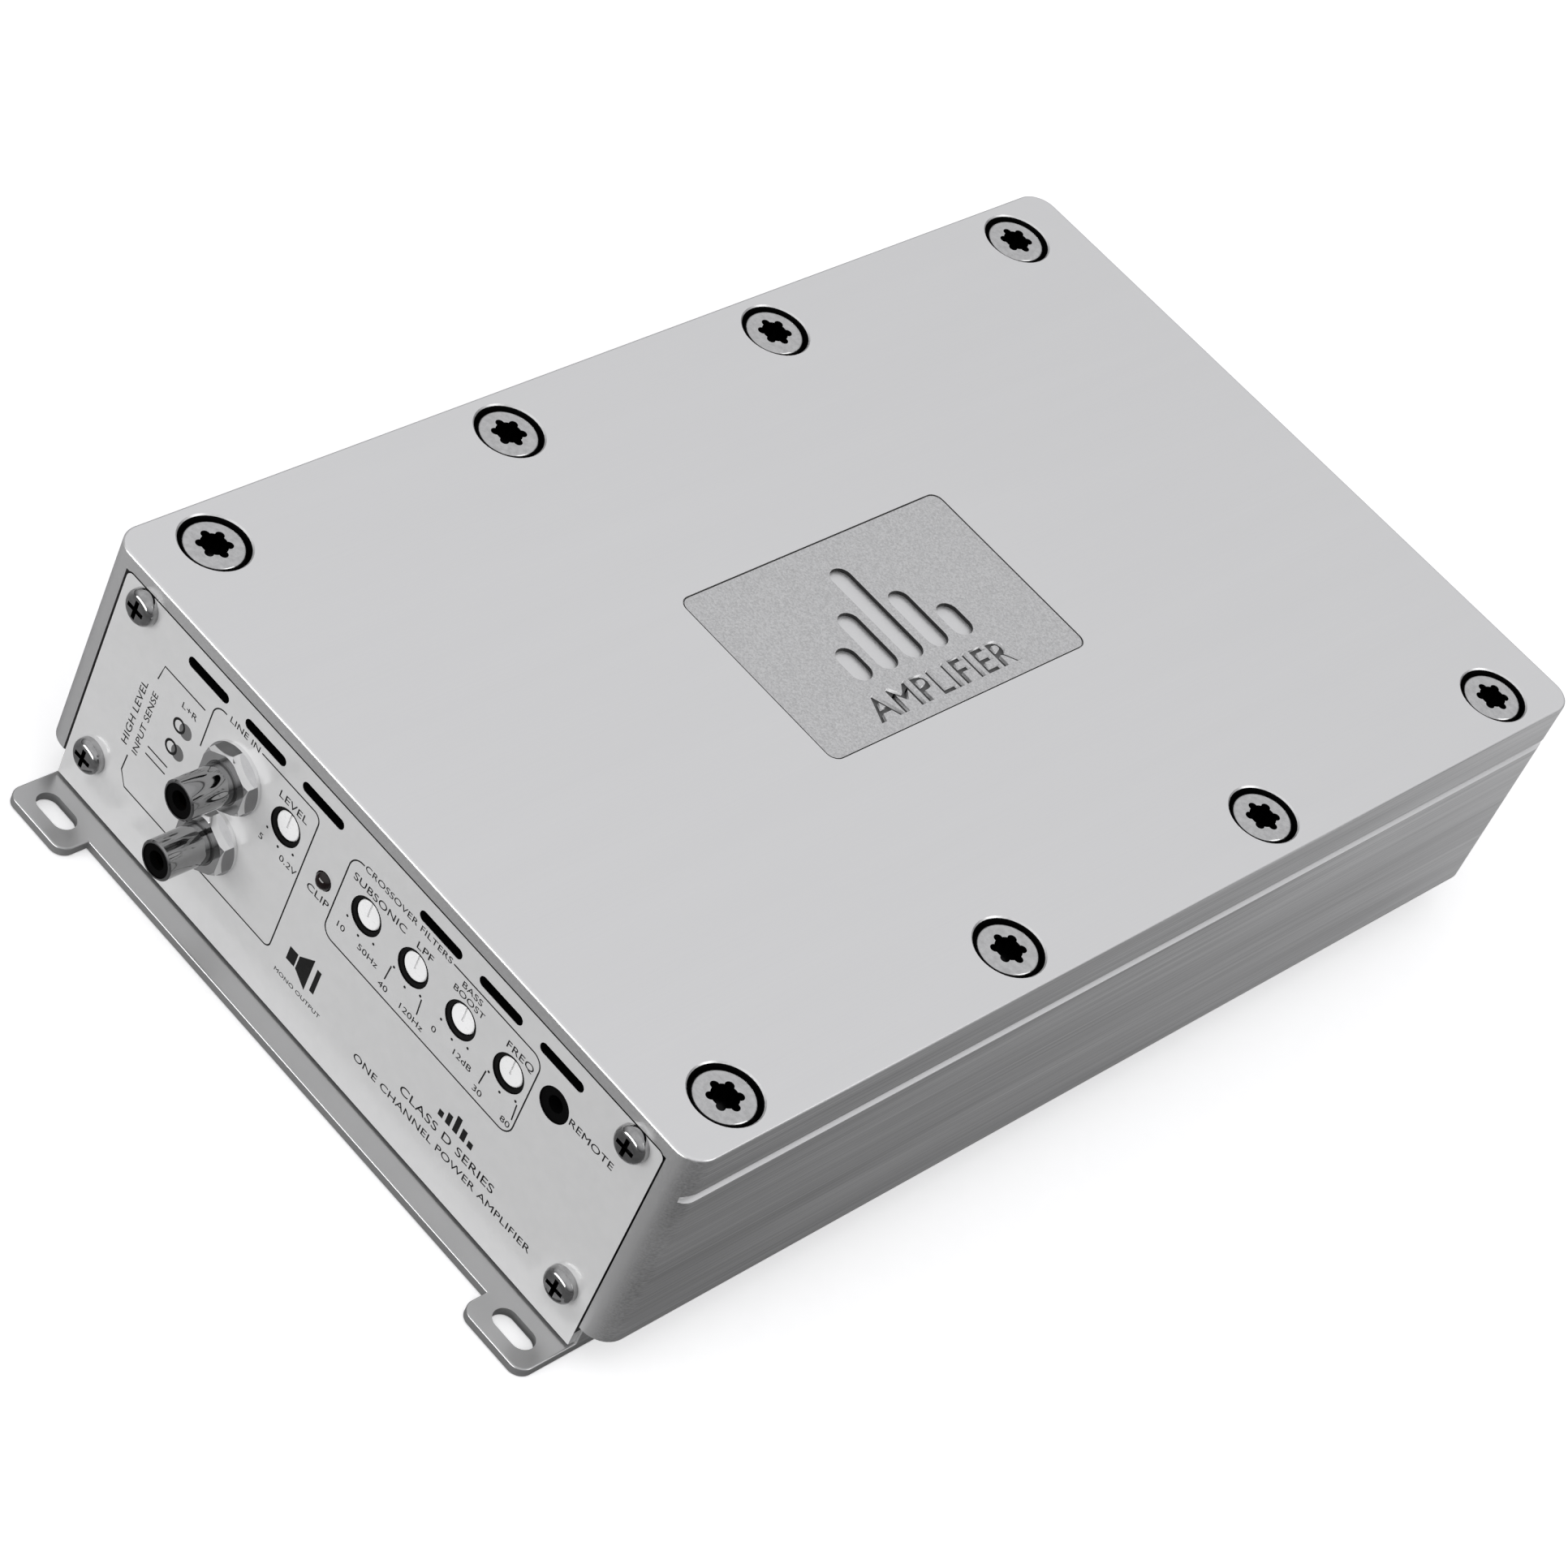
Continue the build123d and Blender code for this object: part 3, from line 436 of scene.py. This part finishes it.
def paint_inside():
    """Boards, heat path and components inside the case."""
    board = moulded("circuit_board", (0.004, 0.05, 0.02), (0.010, 0.09, 0.035), (0.25, 0.4))
    paint(board, "main_board", "control_board", "driver_card")
    mill = satin_metal("bar_aluminium", grey(0.60), grey(0.70), grain=(1200, 20, 1200))
    paint(mill, "heat_bar_left", "heat_bar_right")
    paint(moulded("pad_rubber", grey(0.30), grey(0.36), (0.7, 0.85)), "thermal_pads")
    paint(moulded("chip_epoxy", grey(0.014), grey(0.022), (0.5, 0.65)), "transistors", "driver_chips")
    zinc = satin_metal("zinc_steel", grey(0.50), (0.60, 0.60, 0.56), (0.22, 0.34))
    paint(zinc, "standoffs", "board_screws", "clamp_bars", "clamp_screws", *nodes_ending("_set_screw"))
    paint(moulded("ferrite", grey(0.03), grey(0.05), (0.6, 0.8)), "transformer_cores", "output_choke_core")
    copper = satin_metal("copper", (0.55, 0.20, 0.08), (0.66, 0.27, 0.11), (0.2, 0.3))
    paint(copper, "transformer_windings", "output_choke_winding", "bus_bars")
    sleeve = moulded("capacitor_sleeve", (0.01, 0.014, 0.03), (0.02, 0.025, 0.05), (0.2, 0.3))
    paint(sleeve, "input_capacitors", "rail_capacitors")
    paint(moulded("film_plastic", (0.55, 0.35, 0.03), (0.65, 0.42, 0.05), (0.3, 0.4)), "film_capacitors")
    paint(moulded("sheet_plastic", (0.60, 0.56, 0.42), (0.68, 0.64, 0.5), (0.3, 0.4)), "insulating_sheet")


# ---------------------------------------------------------------- outlines
def arc(cx, cy, radius, start, stop, steps=8):
    """Points of a circular arc in a plane, angles in degrees."""
    points = []
    for step in range(steps + 1):
        turn = math.radians(start + (stop - start) * step / steps)
        points.append((cx + radius * math.cos(turn), cy + radius * math.sin(turn)))
    return points


def circle(cx, cy, radius):
    return arc(cx, cy, radius, 0, 360, 24)[:-1]


def rounded_outline(x0, x1, y0, y1, radius):
    """Closed outline of a rounded rectangle, anticlockwise."""
    points = arc(x1 - radius, y1 - radius, radius, 0, 90)
    points += arc(x0 + radius, y1 - radius, radius, 90, 180)
    points += arc(x0 + radius, y0 + radius, radius, 180, 270)
    points += arc(x1 - radius, y0 + radius, radius, 270, 360)
    return points


def beside(x, z, dx, dz):
    """Panel point that lies dx and dz millimetres from another."""
    return (x + dx * MM, z + dz * MM)


# ---------------------------------------------------------------- printing on the panels
def add_print(name, build, ink):
    """New flat print on the control panel, from a function that fills a bmesh."""
    work = bmesh.new()
    build(work)
    data = bpy.data.meshes.new(name)
    work.to_mesh(data)
    work.free()
    data.materials.append(ink)
    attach(add_object(name, data), CASE)


def printed_line(work, points, width, closed=False):
    """Flat ribbon along panel points given as (x, z) in metres."""
    count = len(points)
    rails = []
    for index, point in enumerate(points):
        before = points[index - 1] if index or closed else point
        after = points[(index + 1) % count] if index < count - 1 or closed else point
        run = Vector((after[0] - before[0], after[1] - before[1])).normalized()
        side = Vector((-run.y, run.x)) * width / 2
        y = PANEL_Y - INK_LIFT
        left = work.verts.new((point[0] + side.x, y, point[1] + side.y))
        right = work.verts.new((point[0] - side.x, y, point[1] - side.y))
        rails.append((left, right))
    last = count if closed else count - 1
    for index in range(last):
        a, b = rails[index], rails[(index + 1) % count]
        work.faces.new((a[0], b[0], b[1], a[1]))


def printed_shape(work, points, lift=1.0):
    """Filled shape; a smaller lift puts it behind the other prints."""
    y = PANEL_Y - INK_LIFT * lift
    work.faces.new([work.verts.new((x, y, z)) for x, z in points])


def panel_text(name, words, x, z, size, ink, y=PANEL_Y - INK_LIFT, turned=0.0, rolled=0.0):
    """Printed words on an end panel; turned is 180 on the rear, rolled turns the words within the panel."""
    curve = bpy.data.curves.new(name, "FONT")
    curve.body = words
    curve.size = size
    curve.align_x = "CENTER"
    curve.align_y = "CENTER"
    curve.space_character = 1.04
    curve.extrude = INK_LIFT / 2
    curve.materials.append(ink)
    piece = add_object(name, curve)
    upright = Matrix.Rotation(math.radians(turned), 3, "Z") @ Matrix.Rotation(math.radians(90), 3, "X")
    piece.rotation_euler = (upright @ Matrix.Rotation(math.radians(rolled), 3, "Z")).to_euler()
    piece.location = (x, y, z)
    piece.scale.x = 1.28  # wide letters
    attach(piece, CASE)


def print_input_frame(work):
    """Thin outline round the inputs, with a step down at its left."""
    right = KNOBS["level"].x + 6.6 * MM
    left = JACKS.x - 25.3 * MM
    low_z = JACKS.z - 17.9 * MM
    step = [beside(left, STEP_Z, 13.6, 0), beside(left, STEP_Z, 1.4, 0), beside(left, STEP_Z, 0.8, -4)]
    printed_line(work, step, LINE_W)
    outline = [beside(left, low_z, 0.2, 7.2), beside(left, low_z, 0, 3), beside(left, low_z, 2, 0)]
    outline += arc(*beside(right, low_z, -1.5, 1.5), 1.5 * MM, 270, 360)
    outline += arc(*beside(right, FRAME_TOP, -2, -2), 2 * MM, 0, 90)
    outline += [beside(right, FRAME_TOP, -17.5, 0)]
    printed_line(work, outline, LINE_W)
    tab_x = JACKS.x - 9.9 * MM
    tab = [beside(tab_x, STEP_Z, 0, -8), beside(tab_x, FRAME_TOP, 0, -2.5)]
    tab += arc(*beside(tab_x, FRAME_TOP, 2.5, -2.5), 2.5 * MM, 180, 90)
    printed_line(work, tab + [beside(tab_x, FRAME_TOP, 3.2, 0)], LINE_W)
    for drop in (21.4, 19.5):
        printed_line(work, [beside(left, STEP_Z, 4, -drop), beside(left, STEP_Z, 10, -drop)], LINE_W)


def print_filter_frame(work):
    """Thin outline round the four filter knobs, open where its title stands."""
    x0, x1 = KNOBS["subsonic"].x - 7.7 * MM, KNOBS["frequency"].x + 5.6 * MM
    z0, z1 = KNOBS["subsonic"].z - 12.2 * MM, FRAME_TOP
    radius = 2.8 * MM
    outline = [beside(x0, z1, 3.2, 0)] + arc(x0 + radius, z1 - radius, radius, 90, 180)
    outline += arc(x0 + radius, z0 + radius, radius, 180, 270)
    outline += arc(x1 - radius, z0 + radius, radius, 270, 360)
    outline += arc(x1 - radius, z1 - radius, radius, 0, 90)
    printed_line(work, outline + [beside(x0, z1, 29, 0)], LINE_W)


def print_socket_rings(work):
    for x, z in SOCKET_SYMBOLS:
        printed_line(work, circle(x, z, 1.45 * MM), 0.55 * MM, closed=True)


def print_socket_cores(work):
    for x, z in SOCKET_SYMBOLS:
        printed_shape(work, circle(*beside(x, z, 1.9, 0.1), 1.75 * MM), lift=0.6)


def print_loudspeaker(work):
    box = ((-5, -1.7), (-2.6, -1.7), (-2.6, 1.7), (-5, 1.7))
    cone = ((-2.2, -1.7), (1.4, -4.2), (1.4, 4.2), (-2.2, 1.7))
    wave = ((2.6, -3.0), (3.8, -3.0), (3.8, 3.0), (2.6, 3.0))
    for shape in (box, cone, wave):
        printed_shape(work, [beside(*SPEAKER_SYMBOL, dx, dz) for dx, dz in shape])


def print_level_bars(work):
    for step, height in enumerate((1.6, 2.8, 4.2, 2.8, 1.6)):
        start = step * 2.1
        corners = ((start, 0), (start + 1.3, 0), (start + 1.3, height), (start, height))
        printed_shape(work, [beside(*LEVEL_BARS, dx, dz) for dx, dz in corners])


def print_scales(work):
    """Dots round the knobs and the leader lines to their end values."""
    for knob in KNOBS.values():
        for x, z in arc(knob.x, knob.z, 5.4 * MM, 225, 315, 2):
            printed_shape(work, circle(x, z, 0.3 * MM))
    for name in ("low_pass", "frequency"):
        knob = KNOBS[name]
        for side in (-1, 1):
            run = [beside(knob.x, knob.z, side * 4.4, -4.2), beside(knob.x, knob.z, side * 4.7, -8.2)]
            printed_line(work, run, LINE_W)


def print_drawings(ink):
    """All that is printed on the control panel apart from words."""
    pale_ink = moulded("pale_printed_ink", grey(0.10), grey(0.13), (0.45, 0.6), scale=2500)
    add_print("input_frame_print", print_input_frame, ink)
    add_print("filter_frame_print", print_filter_frame, ink)
    add_print("socket_ring_print", print_socket_rings, ink)
    add_print("socket_core_print", print_socket_cores, pale_ink)
    add_print("loudspeaker_print", print_loudspeaker, ink)
    add_print("level_bars_print", print_level_bars, ink)
    add_print("scale_print", print_scales, ink)


def print_knob_words(ink):
    """Each knob's name above it and the ends of its scale below it."""
    above = 5.5 * MM
    names = (
        ("level", "LEVEL", 0), ("subsonic", "SUBSONIC", 1.7),
        ("low_pass", "LPF", 1.0), ("frequency", "FREQ", 0.8),
    )
    for name, word, shift in names:
        knob = KNOBS[name]
        panel_text(f"{name}_label", word, knob.x + shift * MM, knob.z + above, SMALL, ink)
    boost = KNOBS["boost"]
    panel_text("boost_label_1", "BASS", boost.x, boost.z + above + 2.0 * MM, TINY, ink)
    panel_text("boost_label_2", "BOOST", boost.x, boost.z + above - 0.2 * MM, TINY, ink)
    ends = {
        "level": ("5", "0.2V", -7.0), "subsonic": ("10", "50Hz", -7.4), "low_pass": ("40", "120Hz", -10.0),
        "boost": ("0", "12dB", -7.4), "frequency": ("30", "80", -10.0),
    }
    for name, (least, most, drop) in ends.items():
        knob = KNOBS[name]
        z = knob.z + drop * MM
        panel_text(f"{name}_least", least, knob.x - 4.4 * MM, z, TINY, ink)
        panel_text(f"{name}_most", most, knob.x + 3.6 * MM, z, TINY, ink)


def print_front_words(ink):
    """Plain function words on the control panel; the last value rolls them."""
    clip, remote = centre("clip_led"), centre("remote_jack")
    words = (
        ("filter_title", "CROSSOVER FILTERS", KNOBS["subsonic"].x + 8.3 * MM, FRAME_TOP, TINY, 0),
        ("clip_label", "CLIP", clip.x, clip.z - 4.1 * MM, SMALL, 0),
        ("remote_label", "REMOTE", remote.x + 10.2 * MM, remote.z + 0.2 * MM, SMALL, 0),
        ("line_label", "LINE IN", JACKS.x - 1.2 * MM, FRAME_TOP, TINY, 0),
        ("sense_label_1", "HIGH LEVEL", JACKS.x - 26.9 * MM, SENSE_Z, SMALL, 90),
        ("sense_label_2", "INPUT SENSE", JACKS.x - 23.7 * MM, SENSE_Z, TINY * 1.08, 90),
        ("sum_label", "L+R", JACKS.x - 15 * MM, 43.8 * MM, TINY, 0),
        ("speaker_out_label", "MONO OUTPUT", -6.8 * MM, 12.0 * MM, 1.4 * MM, 0),
        ("class_label_1", "CLASS D SERIES", CLASS_X, 16.1 * MM, 3.0 * MM, 0),
        ("class_label_2", "ONE CHANNEL POWER AMPLIFIER", CLASS_X, 12.3 * MM, 2.5 * MM, 0),
    )
    for name, word, x, z, size, rolled in words:
        panel_text(name, word, x, z, size, ink, rolled=rolled)


def print_rear_words(ink):
    """Terminal names and the power lamp's name."""
    plus, minus = centre("speaker_positive_set_screw"), centre("speaker_negative_set_screw")
    lamp = centre("power_led")
    words = (
        ("positive_port_label", "+12V", centre("positive_set_screw").x, REAR_WORDS_Z, 3.2),
        ("remote_port_label", "REM", centre("remote_set_screw").x, REAR_WORDS_Z, 3.2),
        ("ground_port_label", "GND", centre("ground_set_screw").x, REAR_WORDS_Z, 3.2),
        ("speaker_positive_port_label", "+", plus.x, REAR_WORDS_Z, 4.0),
        ("speaker_negative_port_label", "-", minus.x, REAR_WORDS_Z, 4.0),
        ("speaker_label", "SPEAKER", (plus.x + minus.x) / 2, REAR_WORDS_Z, 3.0),
        ("power_label", "POWER", lamp.x - 10.5 * MM, lamp.z, 2.6),
    )
    for name, word, x, z, size in words:
        panel_text(name, word, x, z, size * MM, ink, y=REAR_Y + INK_LIFT, turned=180)


# ---------------------------------------------------------------- badge
def prism(work, outline, z0, z1):
    """Closed upright prism on an outline given as (x, y)."""
    lower = [work.verts.new((x, y, z0)) for x, y in outline]
    upper = [work.verts.new((x, y, z1)) for x, y in outline]
    work.faces.new(list(reversed(lower)))
    work.faces.new(upper)
    count = len(outline)
    for index in range(count):
        after = (index + 1) % count
        work.faces.new((lower[index], lower[after], upper[after], upper[index]))


def add_prisms(name, outlines, z0, z1):
    work = bmesh.new()
    for outline in outlines:
        prism(work, outline, z0, z1)
    bmesh.ops.recalc_face_normals(work, faces=work.faces)
    data = bpy.data.meshes.new(name)
    work.to_mesh(data)
    work.free()
    return add_object(name, data)


def capsule(x0, x1, y, half_width):
    """Outline of a bar along X with round ends."""
    return arc(x1 - half_width, y, half_width, -90, 90, 12) + arc(x0 + half_width, y, half_width, 90, 270, 12)


def add_word_cutter(words):
    """Solid letters that reach as far below the badge's face as above it."""
    curve = bpy.data.curves.new("word", "FONT")
    curve.body = words
    curve.size = WORD_SIZE
    curve.offset = 0.22 * MM  # heavier strokes
    curve.align_x = "CENTER"
    curve.align_y = "CENTER"
    curve.extrude = BADGE_CUT
    curve.resolution_u = 3
    word = add_object("word", curve)
    word.rotation_euler = (0, 0, math.radians(90))
    word.location = (WORD_X, 0, BADGE_HIGH.z)
    bpy.context.view_layer.update()
    data = bpy.data.meshes.new_from_object(word.evaluated_get(bpy.context.evaluated_depsgraph_get()))
    data.transform(word.matrix_world)
    bpy.data.objects.remove(word)
    return add_object("letters", data)


def subtract(piece, cutter):
    """Cuts one closed mesh from another and removes the cutter."""
    modifier = piece.modifiers.new("cut", "BOOLEAN")
    modifier.operation = "DIFFERENCE"
    modifier.solver = "EXACT"
    modifier.use_self = True
    modifier.object = cutter
    shown = piece.evaluated_get(bpy.context.evaluated_depsgraph_get())
    piece.data = bpy.data.meshes.new_from_object(shown)
    piece.modifiers.clear()
    bpy.data.objects.remove(cutter)


def make_badge():
    """Plate with five level bars and one plain word cut into it."""
    top = BADGE_HIGH.z
    outline = rounded_outline(BADGE_LOW.x, BADGE_HIGH.x, BADGE_LOW.y, BADGE_HIGH.y, BADGE_R)
    badge = add_prisms("badge", [outline], BADGE_LOW.z, top)
    badge.data.materials.append(badge_metal())
    bars = []
    for step, height in enumerate(BAR_HEIGHTS):
        bars.append(capsule(BAR_FOOT - height, BAR_FOOT, (step - 2) * BAR_PITCH, BAR_HALF_W))
    subtract(badge, add_prisms("bars", bars, top - BADGE_CUT, top + MM))
    subtract(badge, add_word_cutter("AMPLIFIER"))
    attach(badge, CASE)
    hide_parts("badge_plate")


# ---------------------------------------------------------------- light and floor
def add_area(name, place, target, size, power):
    """Rectangular soft box, given as width and height, aimed at a point."""
    data = bpy.data.lights.new(name, "AREA")
    data.energy = power
    data.shape = "RECTANGLE"
    data.size, data.size_y = size
    lamp = add_object(name, data)
    lamp.location = place
    lamp.rotation_euler = (target - place).to_track_quat("-Z", "Y").to_euler()


def make_world():
    """Pale surround, darker near the horizon."""
    world = bpy.data.worlds.new("studio")
    world.use_nodes = True
    tree = world.node_tree
    coords = tree.nodes.new("ShaderNodeTexCoord")
    split = tree.nodes.new("ShaderNodeSeparateXYZ")
    tree.links.new(coords.outputs["Generated"], split.inputs["Vector"])
    ramp = tree.nodes.new("ShaderNodeValToRGB")
    stops = ramp.color_ramp.elements
    stops[0].position = 0.0
    stops[0].color = (0.08, 0.08, 0.082, 1)
    stops[1].position = 0.55
    stops[1].color = (0.80, 0.80, 0.815, 1)
    tree.links.new(split.outputs["Z"], ramp.inputs["Fac"])
    tree.links.new(ramp.outputs["Color"], tree.nodes["Background"].inputs["Color"])
    bpy.context.scene.world = world
    bpy.context.scene.view_settings.view_transform = "Standard"


def floor_paper():
    """White paper to the camera. To all other rays the floor is painted darker towards the front right, so
    the metal mirrors it as a painted dark reflection; to the camera the paper also glows a little, which
    lightens its shadows.
    """
    shader = Shader("floor_paper")
    fibres = shader.noise(300.0, detail=3)
    paper = shader.mix(shader.spread(fibres, 0, 1), grey(0.93), grey(0.95))
    seen = shader.node("ShaderNodeLightPath").outputs["Is Camera Ray"]
    x, y, _ = shader.axes(shader.coords)
    # painted reflection: to every ray but the camera's, the floor darkens towards the front right
    across = shader.math("SUBTRACT", y, shader.math("MULTIPLY", x, 0.5))
    painted_floor_reflection = shader.mix(shader.spread(across, 0, 1, -0.22, 0.20), grey(0.14), grey(0.72))
    shader.colour(shader.mix(seen, painted_floor_reflection, paper))
    shader.plain(Roughness=0.9, Emission_Color=(1, 1, 1, 1))
    # the paper glows to the camera only, which lightens the shadows on it
    shader.link(shader.math("MULTIPLY", seen, 0.35), shader.bsdf.inputs["Emission Strength"])
    return shader.material


def make_floor():
    reach = 6.0
    corners = [(-reach, -reach, 0), (reach, -reach, 0), (reach, reach, 0), (-reach, reach, 0)]
    data = bpy.data.meshes.new("floor")
    data.from_pydata(corners, [], [(0, 1, 2, 3)])
    data.materials.append(floor_paper())
    floor = add_object("floor", data)
    floor.location.z = cad_low.z - 0.2 * MM


def make_studio():
    """White floor, pale surround, a long low soft box in front and a square one behind at the right."""
    make_world()
    make_floor()
    middle = (cad_low + cad_high) / 2
    add_area("key", middle + Vector((-0.35, -1.7, 0.20)), middle, (2.0, 0.4), 21)
    add_area("fill", middle + Vector((1.6, 0.6, 1.0)), middle, (1.0, 1.0), 6)


make_camera()
paint_case()
paint_fittings()
paint_inside()
ink = moulded("printed_ink", grey(0.006), grey(0.012), (0.45, 0.6), scale=2500, Specular_IOR_Level=0.2)
print_drawings(ink)
print_knob_words(ink)
print_front_words(ink)
print_rear_words(ink)
make_badge()
make_studio()
